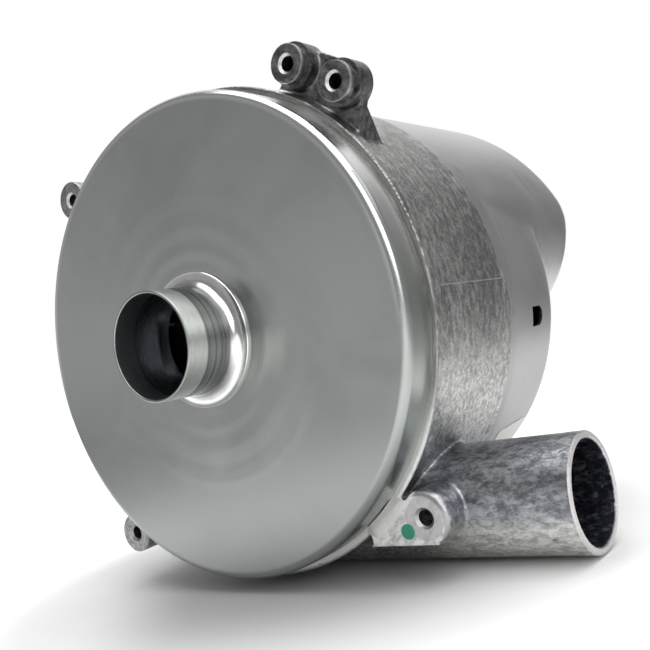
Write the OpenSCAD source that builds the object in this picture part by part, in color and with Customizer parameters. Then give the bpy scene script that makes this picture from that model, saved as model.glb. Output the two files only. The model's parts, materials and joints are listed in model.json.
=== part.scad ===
// Vacuum motor unit: a two-stage centrifugal blower with a brushless motor behind it.
// Frame: X along the discharge horn, Y along the shaft with the inlet at -Y, Z up.
// Origin: on the shaft axis, in the plane of the four mounting boss faces. Millimetres.

/* [Inlet shell] */
// Outer radius of the drawn inlet shell
shell_r = 72.4; // [70:0.1:76]
// Sheet thickness of the inlet shell
shell_t = 1; // [0.6:0.1:1.6]
// Depth from the flat of the rim to the skirt edge
shell_depth = 11; // [10:0.5:14]
// Outside corner radius between the face and the skirt
shell_corner_r = 2.5; // [2:0.5:5]
// How far the face bulges forward of the rim at the inlet seat
shell_dome = 0.4; // [0.2:0.1:1.5]
// Radial thickness of the seal ring inside the skirt
seal_t = 1.3; // [1:0.1:1.8]

/* [Inlet tube] */
// Outer radius of the inlet tube, a 1.25 inch hose fit
tube_r = 15.875; // [13:0.125:18]
// Wall of the inlet tube
tube_wall = 0.9; // [0.6:0.1:1.5]
// Length of the tube in front of its seat on the shell
tube_reach = 19.2; // [14:0.1:30]
// Width of the foot ring around the tube
tube_foot_w = 4.4; // [3:0.1:5.5]
// Thickness of the foot ring
tube_foot_t = 0.8; // [0.5:0.1:1.2]

/* [Fan housing] */
// Wall of the cast housing
housing_wall = 3.5; // [2.5:0.1:5]
// How far the front flange stands out past the shell
flange_over = 2.1; // [1:0.1:4]
// Front face of the flange, behind the boss faces
flange_front = 1.6; // [1:0.1:2.4]
// Thickness of the front flange
flange_t = 5.3; // [4:0.1:7]
// Rear shoulder where the cover seats, behind the boss faces
housing_rear = 46.6; // [45:0.2:48]
// How far the lower half laps over the cover
lower_lap = 2.3; // [1:0.1:4]
// Thickness of the rear wall that carries the motor
rear_wall_t = 3; // [2.5:0.1:4]

/* [Discharge horn] */
// Outer radius of the horn, a 1.25 inch hose fit
horn_r = 15.875; // [13:0.125:16.5]
// Wall of the horn
horn_wall = 2; // [1.5:0.1:3]
// Distance of the horn's open end from the shaft axis
horn_end = 95.8; // [85:0.2:130]
// Height of the horn axis below the shaft axis
horn_drop = 60.4; // [58:0.1:62]
// Place of the horn axis behind the boss faces
horn_set = 24.8; // [23:0.1:25]
// Length of the straight end that a hose slides over
horn_grip = 28; // [20:0.5:29]
// Radius of the scroll that feeds the horn
scroll_r = 45; // [40:0.5:50]

/* [Mounting bosses] */
// Spacing of the four mounting bosses, across and up
boss_spacing = 118; // [117:0.5:124]
// Radius of a boss
boss_r = 6.5; // [5.5:0.1:7]
// Length of a boss
boss_len = 12; // [11:0.5:16]
// Diameter of a boss hole
boss_hole_d = 4.3; // [3:0.1:6]
// Depth of a boss hole
boss_hole_depth = 9; // [6:0.5:9.5]
// Distance from the upper right boss to the extra boss beside it
extra_boss_gap = 17.6; // [15:0.2:22]
// Thickness of the webs that carry the bosses
lug_t = 5; // [4:0.2:7]

/* [Fans] */
// Outer radius of the first fan
first_fan_r = 62; // [50:0.5:65]
// Outer radius of the second fan
second_fan_r = 58; // [50:0.5:62]
// Sheet thickness of the fan discs
fan_sheet = 0.8; // [0.6:0.1:1.2]
// Thickness of a fan blade
fan_blade_t = 0.8; // [0.6:0.1:1.5]
// Blades on each fan
fan_blades = 7; // [5:1:9]
// Height of the first fan's blades
first_blade_h = 5.2; // [4.5:0.1:5.6]
// Height of the second fan's blades
second_blade_h = 7.2; // [5:0.1:7.6]
// Return vanes between the fans
return_vanes = 9; // [5:1:13]

/* [Shaft and bearings] */
// Radius of the shaft at its bearings
shaft_r = 4; // [3.5:0.1:4.4]
// Outer radius of the bearings
bearing_r = 11; // [10.6:0.1:12]
// Width of the bearings
bearing_w = 7; // [6:0.2:8]
// Balls in each bearing
ball_count = 7; // [5:1:8]

/* [Motor] */
// Outer radius of the stator core
stator_r = 42; // [40:0.5:44]
// Length of the stator core
stack_len = 18; // [14:0.5:18]
// Radius of the stator bore
stator_bore = 19.2; // [18:0.1:20]
// Air gap between rotor and stator
air_gap = 0.7; // [0.5:0.05:1]

/* [Controller] */
// Radius of the controller board
board_r = 64; // [62:0.5:66]
// Thickness of the controller board
board_t = 1.6; // [1:0.1:2]
// Radius of the smoothing capacitors
cap_r = 8; // [5:0.5:9]
// Height of the smoothing capacitors
cap_h = 25; // [15:1:30]

/* [Rear cover] */
// Sheet thickness of the rear cover
cover_t = 0.9; // [0.6:0.1:1.2]
// Length of the cover from its seat to its flat rear face
cover_len = 43; // [42:0.2:48]
// How much the cover narrows towards the rear
cover_draft = 2; // [1:0.1:2.4]
// Corner radius at the rear of the cover
cover_corner_r = 4.2; // [2:0.2:5]
// Radius of the raised dome over the capacitors
dome_r = 45.4; // [43:0.2:48]
// Height of the dome behind the flat rear face
dome_h = 34.4; // [30:0.1:44]
// Corner radius of the dome
dome_corner_r = 6; // [4:0.5:14]
// Distance of the dome's centre from the shaft
dome_off = 34; // [32:0.2:36]
// Angle of the dome's centre about the shaft
dome_angle = 47; // [40:1:50]
// Length of the lead slot along the shaft
slot_l = 8.8; // [6:0.2:10]
// Width of the lead slot around the cover
slot_w = 6.4; // [5:0.2:8]
// Angle of the lead slot about the shaft
slot_angle = -10.7; // [-14:0.1:-8]

/* [Hidden] */
$fn = 96;

// Clearances
press_gap = 0.02;
thread_gap = 0.05;
screw_gap = 0.2;
stud_gap = 0.5;
slide_gap = 0.1;
ball_gap = 0.07;
run_gap = 0.7;
cut = 1;

// Inlet end, from the flange forward
rim_y = flange_front - shell_depth;
seat_y = rim_y - shell_dome;
tube_foot_r = tube_r + tube_foot_w;
seat_r = tube_foot_r + 0.5;
shell_in_r = shell_r - shell_t;
neck_r = tube_r + 0.8;
bead_r = tube_r + 1.7;
bead_t = 0.8;

// Cast housing
housing_r = shell_r + 0.4;
housing_in_r = housing_r - housing_wall;
flange_r = shell_r + flange_over;
flange_rear = flange_front + flange_t;
spigot_y = flange_front - 5.6;
spigot_r = shell_in_r - slide_gap;
seal_y0 = spigot_y + 1.6;
seal_w = 2;
wall_rear = housing_rear - 4.4;
wall_front = wall_rear - rear_wall_t;
cover_r = housing_r - 0.6;
cover_in_r = cover_r - cover_t;
cover_spigot_r = cover_in_r - slide_gap;
cover_spigot_len = 5.4;
horn_bore_r = horn_r - horn_wall;
horn_rim = 0.5;
horn_draft = 0.4;
scroll_z = scroll_r - horn_drop;

// Fans and the diffuser between them, from the first fan's back disc rearward
first_back_y = 0;
washer_t = 1;
washer_r = 2 * shaft_r + 0.5;
vane_front = first_back_y + fan_sheet + 1.2;
plate_t = 1;
shelf_y = vane_front + 9;
shelf_t = 3;
shelf_r = housing_in_r - 4.5;
vane_y0 = vane_front + plate_t;
vane_y1 = shelf_y - plate_t;
eye_r = tube_r + 2.9;
second_shroud_y = shelf_y + 1.5;
second_back_y = second_shroud_y + fan_sheet + second_blade_h;
collar_h = 4.2;
first_collar_h = 2;
collar_t = 0.8;
blade_in_r = eye_r + 2.2;
blade_inset = 0.6;
vane_in_r = washer_r + 16;
vane_t = 1.2;

// Bearings
pitch_r = (shaft_r + bearing_r) / 2;
race_t = (bearing_r - shaft_r) * 2 / 7;
ball_r = pitch_r - shaft_r - race_t + 0.48;
groove_r = ball_r + ball_gap;
shield_t = 0.4;
cage_half_w = ball_r + 0.62;
front_bearing_y0 = wall_rear - 3.2 - bearing_w;
front_bearing_y1 = front_bearing_y0 + bearing_w;
hub_r = bearing_r + 5.7;
hub_y0 = front_bearing_y0 - 6;
spacer_r = shaft_r + 3;
seal_seat_r = spacer_r + 3;

// Motor
stator_y0 = wall_rear + 7.8;
stator_y1 = stator_y0 + stack_len;
yoke_in_r = stator_r - 9;
tooth_count = 6;
tooth_w = 9;
shoe_t = 2.6;
coil_w = 4;
coil_in_r = stator_bore + shoe_t + 1.5;
liner_lap = 0.5;
coil_gap = 0.5;
coil_half = tooth_w / 2 + coil_gap + coil_w;
coil_out_r = sqrt(pow(yoke_in_r - liner_lap - coil_gap, 2) - pow(coil_half, 2));
coil_end = 4.2;
liner_t = 0.6;
tie_r = stator_r - 4;
tie_count = 4;
tie_screw_r = 2;
rear_bearing_y0 = stator_y1 + 4;
rear_bearing_y1 = rear_bearing_y0 + bearing_w;
preload_t = 0.6;
bracket_y1 = rear_bearing_y1 + preload_t + 1.2;
bracket_arm_t = 4;
bracket_arm_w = 7;
tie_post_r = tie_screw_r + 2.2;
tie_head_r = tie_screw_r + 1.6;
bracket_hub_r = bearing_r + 3.5;
tie_head_h = 2.2;
sleeve_r = stator_bore - air_gap;
sleeve_t = 0.7;
magnet_t = 2.8;
magnet_r = sleeve_r - sleeve_t - press_gap;
core_r = magnet_r - magnet_t - press_gap;
shoulder_r = shaft_r + 1;
pole_count = 4;

// Controller and cover
board_y0 = bracket_y1 + tie_head_h + 0.4;
board_y1 = board_y0 + board_t;
cover_y0 = housing_rear;
cover_y1 = cover_y0 + cover_len;
cover_flat_y = cover_y1 - cover_t;
post_r = board_r - 6;
post_angles = [120, 215, 315];
post_len = 15.8;
post_y1 = wall_rear + post_len;
post_screw_r = 1.5;
post_foot_r = post_screw_r + 2.9;
post_hex_r = post_screw_r + 2.5;
post_stud_len = 10;
board_spacer_t = 2;
cover_head_r = 2 * post_screw_r;
cover_head_h = 2;
dome_side_r = cover_r - slide_gap;
dome_c = [dome_off * cos(dome_angle), dome_off * sin(dome_angle)];
dome_y1 = cover_y1 + dome_h;
slot_y0 = housing_rear + 21.7;
header_reach = 6;
cap_gap = 1.5;
device_w = 8;
device_h = 14;
device_t = 4.4;
device_pitch = 9;
device_x = cap_r + 6;
sink_x = device_x + device_t;
sink_w = 50;
sink_h = 18;
sink_t = 2.5;
fin_len = 9;
fin_t = 1.5;
fin_pitch = 8;
header_w = 10;
header_len = 9;
header_wall = 1;
header_x = board_r - 10;
pin_w = 0.8;
pin_pitch = 2.5;

// Mounting
half = boss_spacing / 2;
extra_a = 35.4;
extra_boss = [half - extra_boss_gap * cos(extra_a), half + extra_boss_gap * sin(extra_a)];
boss_places = [[half, half], [-half, half], [-half, -half], [half, -half], extra_boss];
lug_y0 = flange_rear;
lug_y1 = lug_y0 + lug_t;
lug_r = boss_r - 0.9;
gusset_y1 = lug_y1 + 9;

// A point at radius r and angle a, seen from the front
function at(r, a) = [r * cos(a), r * sin(a)];
// Points along an arc round a centre
function arc(c, r, a0, a1, n) = [for (i = [0:n]) c + at(r, a0 + (a1 - a0) * i / n)];
// Forward place of the shell's face at radius r
function dome_y(r) = rim_y - shell_dome * pow(1 - (r - seat_r) / (shell_r - shell_corner_r - seat_r), 1.5);

// A flat shape seen from the front, pushed along the shaft from y0 to y1
module axial(y0, y1) {
    translate([0, y1, 0]) rotate([90, 0, 0]) linear_extrude(y1 - y0) children();
}
// A shape of radius and place along the shaft, turned about the shaft axis
module turned() {
    rotate([-90, 0, 0]) rotate_extrude() children();
}
module disc(y0, y1, r) {
    axial(y0, y1) circle(r);
}
module ring(y0, y1, r_out, r_in) {
    axial(y0, y1) difference() {
        circle(r_out);
        circle(r_in);
    }
}
// One curved blade between two radii, seen from the front
module blade(r_in, r_out, t) {
    bow_c = (r_in + r_out) / 2 - 3;
    bow_r = (r_out - r_in) / 2 + 12;
    intersection() {
        difference() {
            circle(r_out);
            circle(r_in);
        }
        translate([bow_c, 0]) difference() {
            circle(bow_r);
            circle(bow_r - t);
        }
        translate([0, r_out / 2]) square([2 * r_out, r_out], center = true);
    }
}
module blades(y0, y1, r_in, r_out, t, count) {
    for (i = [0:count - 1])
        axial(y0, y1) rotate(i * 360 / count) blade(r_in, r_out, t);
}

module inlet_shell() {
    n = 8;
    edge_r = shell_r - shell_corner_r;
    steps = [for (i = [0:n]) seat_r + (edge_r - seat_r) * i / n];
    corner = [edge_r, rim_y + shell_corner_r];
    outside = concat([for (r = steps) [r, dome_y(r)]], arc(corner, shell_corner_r, -75, 0, 5));
    inside = concat([for (r = steps) [r, dome_y(r) + shell_t]],
        arc(corner, shell_corner_r - shell_t, -75, 0, 5));
    color("darkgray") turned() polygon(concat(
        [[neck_r + slide_gap, seat_y + shell_t], [neck_r + slide_gap, seat_y]],
        outside, [[shell_r, flange_front], [shell_in_r, flange_front]],
        [for (i = [len(inside) - 1:-1:0]) inside[i]]));
}

module inlet_tube() {
    foot_y = seat_y - tube_foot_t;
    bore = tube_r - tube_wall;
    sweep = tube_foot_w - 0.5;
    back_y = seat_y + shell_t;
    fillet = arc([tube_r + sweep, foot_y - sweep], sweep, 180, 90, 6);
    color("silver") turned() polygon(concat(
        [[bore, seat_y - tube_reach], [tube_r, seat_y - tube_reach]], fillet,
        [[tube_foot_r, foot_y], [tube_foot_r, seat_y], [neck_r, seat_y], [neck_r, back_y],
        [bead_r, back_y], [bead_r, back_y + bead_t], [bore, back_y + bead_t]]));
}

module shell_seal() {
    color("dimgray") ring(seal_y0, seal_y0 + seal_w, shell_in_r, spigot_r - seal_t);
}

// Straight horn with a chamfered open end
module horn(r, rim) {
    translate([0, horn_set, -horn_drop]) rotate([0, 90, 0]) rotate_extrude()
        polygon([[0, 0], [r + horn_draft, 0], [r, horn_end - horn_grip], [r, horn_end - abs(rim)],
            [r - rim, horn_end], [0, horn_end]]);
}
module scroll(r) {
    translate([0, horn_set, scroll_z]) rotate([-90, 0, 0]) rotate([0, 0, 90])
        rotate_extrude(angle = 90) translate([scroll_r, 0]) circle(r + horn_draft);
}
// Web behind the pair of bosses at the upper right
module pair_web() {
    across = [sin(extra_a), cos(extra_a)] * lug_r;
    foot = at(housing_r - 1, 36);
    far_foot = at(housing_r - 1, 63);
    axial(lug_y0, lug_y1) union() {
        translate([half, half]) circle(lug_r);
        translate(extra_boss) circle(lug_r);
        polygon([[half, half] + across, [half + lug_r, half], foot, far_foot,
            extra_boss - [lug_r, 0], extra_boss + across]);
    }
    intersection() {
        axial(lug_y1 - 0.5, gusset_y1) polygon([[half + lug_r, half], foot, at(housing_r - 1, 38.5),
            [half + lug_r - 3, half]]);
        translate([0, 0, half - 28]) rotate([90, 0, 90]) linear_extrude(half + boss_r)
            polygon([[lug_y0, 0], [gusset_y1, 10], [lug_y1 - 0.5, 28], [lug_y0, 28]]);
    }
}
module single_web(a) {
    axial(lug_y0, lug_y1) rotate(a) translate([housing_r - 2, -lug_r])
        square([half * sqrt(2) - housing_r + 2, 2 * lug_r]);
}
// Flat pad round the lower right boss, in front of the horn
module horn_pad() {
    axial(0, horn_set - horn_r + 5) union() {
        translate([half - 19, -half - 7.3]) square([22, 12]);
        translate([half, -half]) circle(boss_r + 0.8);
    }
}

module fan_housing() {
    color("gray") difference() {
        union() {
            difference() {
                union() {
                    disc(flange_front, flange_rear, flange_r);
                    disc(flange_rear - cut, housing_rear, housing_r);
                    disc(spigot_y, flange_front + cut, spigot_r);
                    disc(housing_rear - cut, housing_rear + cover_spigot_len, cover_spigot_r);
                    scroll(horn_r);
                    horn(horn_r, horn_rim);
                    pair_web();
                    single_web(135);
                    single_web(225);
                    for (p = boss_places)
                        axial(0, boss_len) translate(p) circle(boss_r);
                    horn_pad();
                }
                disc(spigot_y - cut, shelf_y, housing_in_r);
                disc(shelf_y - cut, shelf_y + shelf_t + cut, shelf_r);
                disc(shelf_y + shelf_t, wall_front, housing_in_r);
                scroll(horn_bore_r);
                horn(horn_bore_r, -horn_rim);
                translate([horn_end, horn_set, -horn_drop]) rotate([0, 90, 0])
                    cylinder(r = horn_bore_r + horn_rim, h = cut);
                disc(wall_rear, housing_rear + cover_spigot_len + cut, cover_spigot_r - 3);
                ring(seal_y0, seal_y0 + seal_w, shell_r, spigot_r - seal_t);
                ring(seat_y, flange_front, shell_r + 0.3, spigot_r);
            }
            lower_lap_ring();
            disc(hub_y0, wall_rear, hub_r);
            for (i = [0:tie_count - 1])
                axial(wall_rear - cut, stator_y0) translate(at(tie_r, 45 + i * 90)) circle(tie_post_r);
            for (a = post_angles)
                axial(wall_rear - cut, post_y1) translate(at(post_r, a)) circle(post_foot_r);
        }
        disc(front_bearing_y0, wall_rear + cut, bearing_r + press_gap);
        disc(hub_y0 - cut, wall_rear, bearing_r - 1.4);
        disc(hub_y0 - cut, hub_y0 + 4, seal_seat_r + press_gap);
        for (i = [0:tie_count - 1])
            axial(wall_front + 1.5, stator_y0 + cut) translate(at(tie_r, 45 + i * 90))
                circle(tie_screw_r + thread_gap);
        for (a = post_angles)
            axial(post_y1 - post_stud_len - stud_gap, post_y1 + cut) translate(at(post_r, a))
                circle(post_screw_r + thread_gap);
        for (p = boss_places)
            axial(-cut, boss_hole_depth) translate(p) circle(boss_hole_d / 2);
    }
}
// Lip of the lower half that laps over the front edge of the cover
module lower_lap_ring() {
    intersection() {
        ring(housing_rear - cut, housing_rear + lower_lap, housing_r, cover_r + slide_gap);
        translate([-housing_r, 0, -housing_r]) cube([2 * housing_r, housing_rear + cover_len, housing_r]);
    }
}

module diffuser_front_plate() {
    color("lightgray") ring(vane_front, vane_y0, first_fan_r + 1.5, washer_r + run_gap);
}
module return_vanes_ring() {
    color("lightgray") blades(vane_y0, vane_y1, vane_in_r, first_fan_r, vane_t, return_vanes);
}
module diffuser_rear_plate() {
    color("lightgray") ring(vane_y1, shelf_y, housing_in_r - slide_gap, eye_r + collar_t + run_gap);
}

module first_fan_backplate() {
    color("silver") ring(first_back_y, first_back_y + fan_sheet, first_fan_r, shaft_r + press_gap);
}
module first_fan_blades() {
    color("silver")
        blades(first_back_y - first_blade_h, first_back_y, blade_in_r, first_fan_r - blade_inset,
            fan_blade_t, fan_blades);
}
// Front disc of a fan with its eye collar, its rear face at y
module shroud(y, r, h) {
    ring(y - fan_sheet, y, r, eye_r);
    ring(y - h, y - fan_sheet, eye_r + collar_t, eye_r);
}
module first_fan_shroud() {
    color("silver") shroud(first_back_y - first_blade_h, first_fan_r, first_collar_h);
}
module second_fan_backplate() {
    color("silver") ring(second_back_y, second_back_y + fan_sheet, second_fan_r, shaft_r + press_gap);
}
module second_fan_blades() {
    color("silver") blades(second_shroud_y + fan_sheet, second_back_y, blade_in_r, second_fan_r - 0.6,
        fan_blade_t, fan_blades);
}
module second_fan_shroud() {
    color("silver") shroud(second_shroud_y + fan_sheet, second_fan_r, collar_h);
}
module fan_washers() {
    fronts = [first_back_y - washer_t, first_back_y + fan_sheet, second_back_y - washer_t,
        second_back_y + fan_sheet];
    color("gainsboro") for (y = fronts) ring(y, y + washer_t, washer_r, shaft_r + press_gap);
}
module fan_spacer() {
    color("gainsboro") ring(first_back_y + fan_sheet + washer_t, second_back_y - washer_t, spacer_r,
        shaft_r + press_gap);
}
module bearing_spacer() {
    color("gainsboro") ring(second_back_y + fan_sheet + washer_t, front_bearing_y0,
        shaft_r + race_t - 0.1, shaft_r + press_gap);
}
module fan_nut() {
    color("dimgray") axial(first_back_y - washer_t - 5, first_back_y - washer_t) difference() {
        circle(shaft_r * 1.85, $fn = 6);
        circle(shaft_r + press_gap);
    }
}
module shaft() {
    nut_y = first_back_y - washer_t - 5;
    color("lightsteelblue") turned() polygon([[0, nut_y - 1.6], [shaft_r - 0.6, nut_y - 1.6],
        [shaft_r, nut_y - 1], [shaft_r, front_bearing_y1], [shoulder_r, front_bearing_y1],
        [shoulder_r, rear_bearing_y0], [shaft_r, rear_bearing_y0], [shaft_r, rear_bearing_y1 + 0.4],
        [0, rear_bearing_y1 + 0.4]]);
}
module shaft_seal() {
    color("black") ring(hub_y0 + 0.4, hub_y0 + 4, seal_seat_r, shaft_r + race_t + 0.4);
}

// Ring of a bearing with its ball groove, its front face at y
module race(y, r_out, r_in) {
    difference() {
        ring(y, y + bearing_w, r_out, r_in);
        turned() translate([pitch_r, y + bearing_w / 2]) circle(groove_r);
    }
}
module inner_race(y) {
    color("lightsteelblue") race(y, shaft_r + race_t, shaft_r + press_gap);
}
module outer_race(y) {
    color("lightsteelblue") race(y, bearing_r, bearing_r - race_t);
}
module shields(y) {
    color("slategray") for (s = [y, y + bearing_w - shield_t])
        ring(s, s + shield_t, bearing_r - race_t, shaft_r + race_t + 0.4);
}
module balls(y) {
    color("white") for (i = [0:ball_count - 1])
        rotate([0, i * 360 / ball_count, 0]) translate([pitch_r, y + bearing_w / 2, 0]) sphere(ball_r);
}
module cage(y) {
    mid = y + bearing_w / 2;
    color("tan") difference() {
        ring(mid - cage_half_w, mid + cage_half_w, pitch_r + 0.5, pitch_r - 0.5);
        for (i = [0:ball_count - 1])
            rotate([0, i * 360 / ball_count, 0]) translate([pitch_r - 2, mid, 0]) rotate([0, 90, 0])
                cylinder(r = ball_r + 0.12, h = 4);
    }
}
module front_inner_race() { inner_race(front_bearing_y0); }
module rear_inner_race() { inner_race(rear_bearing_y0); }
module front_outer_race() { outer_race(front_bearing_y0); }
module rear_outer_race() { outer_race(rear_bearing_y0); }
module front_shields() { shields(front_bearing_y0); }
module rear_shields() { shields(rear_bearing_y0); }
module front_balls() { balls(front_bearing_y0); }
module rear_balls() { balls(rear_bearing_y0); }
module front_cage() { cage(front_bearing_y0); }
module rear_cage() { cage(rear_bearing_y0); }
module preload_washer() {
    color("goldenrod")
        ring(rear_bearing_y1, rear_bearing_y1 + preload_t, bearing_r, bearing_r - race_t + 0.2);
}

// Teeth with their shoes, seen from the front
module teeth() {
    intersection() {
        difference() {
            circle(yoke_in_r + 1);
            circle(stator_bore);
        }
        for (i = [0:tooth_count - 1]) rotate(i * 360 / tooth_count) union() {
            translate([0, -tooth_w / 2]) square([stator_r, tooth_w]);
            intersection() {
                circle(stator_bore + shoe_t);
                polygon([[0, 0], at(2 * stator_bore, 25), at(2 * stator_bore, -25)]);
            }
        }
    }
}
module tie_holes(r) {
    for (i = [0:tie_count - 1]) translate(at(tie_r, 45 + i * 90)) circle(r);
}
module stator_core() {
    color("dimgray") axial(stator_y0, stator_y1) difference() {
        union() {
            difference() {
                circle(stator_r);
                circle(yoke_in_r);
            }
            teeth();
        }
        tie_holes(tie_screw_r + screw_gap);
    }
}
module insulator(y) {
    color("ivory") axial(y, y + liner_t) union() {
        teeth();
        difference() {
            circle(yoke_in_r + liner_lap);
            circle(yoke_in_r - liner_lap);
        }
    }
}
module front_insulator() { insulator(stator_y0 - liner_t); }
module rear_insulator() { insulator(stator_y1); }
module stator_coils() {
    y0 = stator_y0 - liner_t;
    y1 = stator_y1 + liner_t;
    half_in = coil_half - coil_w;
    color("chocolate") for (i = [0:tooth_count - 1]) rotate([0, i * 360 / tooth_count, 0]) difference() {
        translate([coil_in_r, y0 - coil_end, -coil_half])
            cube([coil_out_r - coil_in_r, y1 - y0 + 2 * coil_end, 2 * coil_half]);
        translate([coil_in_r - cut, y0, -half_in])
            cube([coil_out_r - coil_in_r + 2 * cut, y1 - y0, 2 * half_in]);
    }
}
module rear_bracket() {
    arm_y0 = bracket_y1 - bracket_arm_t;
    color("darkgray") difference() {
        union() {
            disc(rear_bearing_y0, bracket_y1, bracket_hub_r);
            for (i = [0:tie_count - 1]) {
                axial(arm_y0, bracket_y1) rotate(45 + i * 90) translate([0, -bracket_arm_w / 2])
                    square([tie_r, bracket_arm_w]);
                axial(stator_y1, bracket_y1) translate(at(tie_r, 45 + i * 90)) circle(tie_post_r);
            }
        }
        disc(rear_bearing_y0 - cut, rear_bearing_y1 + preload_t, bearing_r + press_gap);
        disc(rear_bearing_y1, bracket_y1 + cut, shaft_r + 1);
        axial(stator_y1 - cut, bracket_y1 + cut) tie_holes(tie_screw_r + screw_gap);
    }
}
module bracket_screws() {
    color("gray") for (i = [0:tie_count - 1]) {
        axial(wall_front + 2, bracket_y1) translate(at(tie_r, 45 + i * 90)) circle(tie_screw_r);
        axial(bracket_y1, bracket_y1 + tie_head_h) translate(at(tie_r, 45 + i * 90)) circle(tie_head_r);
    }
}
module shaft_magnets_2d() {
    for (i = [0:pole_count - 1]) rotate(i * 360 / pole_count) intersection() {
        difference() {
            circle(magnet_r);
            circle(core_r + press_gap);
        }
        polygon([[0, 0], at(2 * magnet_r, 40), at(2 * magnet_r, -40)]);
    }
}
module rotor_core() {
    color("dimgray") ring(stator_y0 - 1, stator_y1 + 1, core_r, shoulder_r + press_gap);
}
module rotor_magnets() {
    color("darkslategray") axial(stator_y0 - 0.5, stator_y1 + 0.5) shaft_magnets_2d();
}
module rotor_sleeve() {
    color("lightsteelblue") ring(stator_y0 - 1, stator_y1 + 1, sleeve_r, sleeve_r - sleeve_t);
}

module board_standoffs() {
    color("gainsboro") for (a = post_angles) difference() {
        union() {
            axial(post_y1, board_y0) translate(at(post_r, a)) circle(post_hex_r, $fn = 6);
            axial(post_y1 - post_stud_len, post_y1) translate(at(post_r, a)) circle(post_screw_r);
        }
        axial(board_y0 - post_stud_len, board_y0 + cut) translate(at(post_r, a))
            circle(post_screw_r + thread_gap);
    }
}
module controller_board() {
    color("seagreen") axial(board_y0, board_y1) difference() {
        circle(board_r);
        for (a = post_angles) translate(at(post_r, a)) circle(post_screw_r + screw_gap);
    }
}
module board_spacers() {
    color("gainsboro") for (a = post_angles) axial(board_y1, cover_flat_y) translate(at(post_r, a))
        difference() {
            circle(post_screw_r + board_spacer_t);
            circle(post_screw_r + screw_gap);
        }
}
module capacitors() {
    color("midnightblue") for (s = [-1, 1])
        axial(board_y1, board_y1 + cap_h)
            translate(dome_c + at(s * (cap_r + cap_gap), dome_angle + 90)) circle(cap_r);
}
// Places on the board inside the dome: x runs outwards from the shaft, z across
module dome_frame() {
    translate([dome_c[0], board_y1, dome_c[1]]) rotate([0, -dome_angle, 0]) children();
}
module power_transistors() {
    color("black") dome_frame() for (i = [-2.5:1:2.5])
        translate([device_x, 0, i * device_pitch - device_w / 2]) cube([device_t, device_h, device_w]);
}
module heat_sink() {
    color("silver") dome_frame() {
        translate([sink_x, 0, -sink_w / 2]) cube([sink_t, sink_h, sink_w]);
        for (i = [-3:3])
            translate([sink_x, 0, i * fin_pitch - fin_t / 2]) cube([fin_len, sink_h, fin_t]);
    }
}
// Places behind the lead slot: x runs outwards through the slot
module slot_frame() {
    rotate([0, -slot_angle, 0]) children();
}
module lead_header() {
    inside_w = header_w - 2 * header_wall;
    color("ivory") slot_frame() difference() {
        translate([header_x, slot_y0, -header_w / 2]) cube([header_len, board_y0 - slot_y0, header_w]);
        translate([header_x + 2 * header_wall, slot_y0 + header_wall, -inside_w / 2])
            cube([header_len, header_len, inside_w]);
    }
}
module header_pins() {
    color("gold") slot_frame() for (i = [-1:1])
        translate([header_x + 2 * header_wall, slot_y0 + header_len / 2, i * pin_pitch - pin_w / 2])
            cube([header_reach, pin_w, pin_w]);
}

// Round solid with the dome's height and corner, shrunk by a wall
module dome_round(r, y0, wall) {
    corner = [r - dome_corner_r, dome_y1 - dome_corner_r];
    turned() polygon(concat([[0, y0], [r - wall, y0]],
        arc(corner, dome_corner_r - wall, 0, 90, 7), [[0, dome_y1 - wall]]));
}
// Solid of the cover, shrunk by a wall
module cover_form(wall) {
    r0 = cover_r - wall;
    r1 = cover_r - cover_draft - wall;
    straight = cover_y0 + cover_spigot_len + 2;
    corner = [r1 - (cover_corner_r - wall), cover_y1 - cover_corner_r];
    front = cover_y0 - (wall > 0 ? cut : 0);
    turned() polygon(concat([[0, front], [r0, front], [r0, straight]],
        arc(corner, cover_corner_r - wall, 0, 90, 5), [[0, cover_y1 - wall]]));
    intersection() {
        dome_round(dome_side_r, straight, wall);
        translate([dome_c[0], 0, dome_c[1]]) dome_round(dome_r, straight, wall);
    }
}
module rear_cover() {
    color("silver") difference() {
        cover_form(0);
        cover_form(cover_t);
        slot_frame() translate([cover_r - 8, slot_y0, 0]) rotate([90, 0, 90]) linear_extrude(16) union() {
            translate([0, -slot_w / 2]) square([slot_l - slot_w / 2, slot_w]);
            translate([slot_l - slot_w / 2, 0]) circle(slot_w / 2);
        }
        for (a = post_angles)
            axial(cover_flat_y - cut, cover_y1 + cut) translate(at(post_r, a))
                circle(post_screw_r + screw_gap);
    }
}
module cover_screws() {
    color("gray") for (a = post_angles) difference() {
        union() {
            axial(board_y0 - 8, cover_y1) translate(at(post_r, a)) circle(post_screw_r);
            axial(cover_y1, cover_y1 + cover_head_h) translate(at(post_r, a)) circle(cover_head_r);
        }
        axial(cover_y1 + cover_head_h / 2, cover_y1 + cover_head_h + cut) translate(at(post_r, a))
            circle(post_screw_r - 0.1, $fn = 6);
    }
}

inlet_shell();
inlet_tube();
shell_seal();
fan_housing();
diffuser_front_plate();
diffuser_rear_plate();
return_vanes_ring();
shaft_seal();
front_outer_race();
front_shields();
rear_outer_race();
rear_shields();
preload_washer();
stator_core();
front_insulator();
rear_insulator();
stator_coils();
rear_bracket();
bracket_screws();
board_standoffs();
controller_board();
board_spacers();
capacitors();
power_transistors();
heat_sink();
lead_header();
header_pins();
rear_cover();
cover_screws();
shaft();
front_inner_race();
rear_inner_race();
first_fan_backplate();
first_fan_blades();
first_fan_shroud();
second_fan_backplate();
second_fan_blades();
second_fan_shroud();
fan_spacer();
bearing_spacer();
fan_washers();
fan_nut();
rotor_core();
rotor_magnets();
rotor_sleeve();
front_balls();
front_cage();
rear_balls();
rear_cage();
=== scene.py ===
"""Looks of a vacuum motor unit: a two-stage blower with its motor under a rear cover."""
import json
import math

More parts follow.
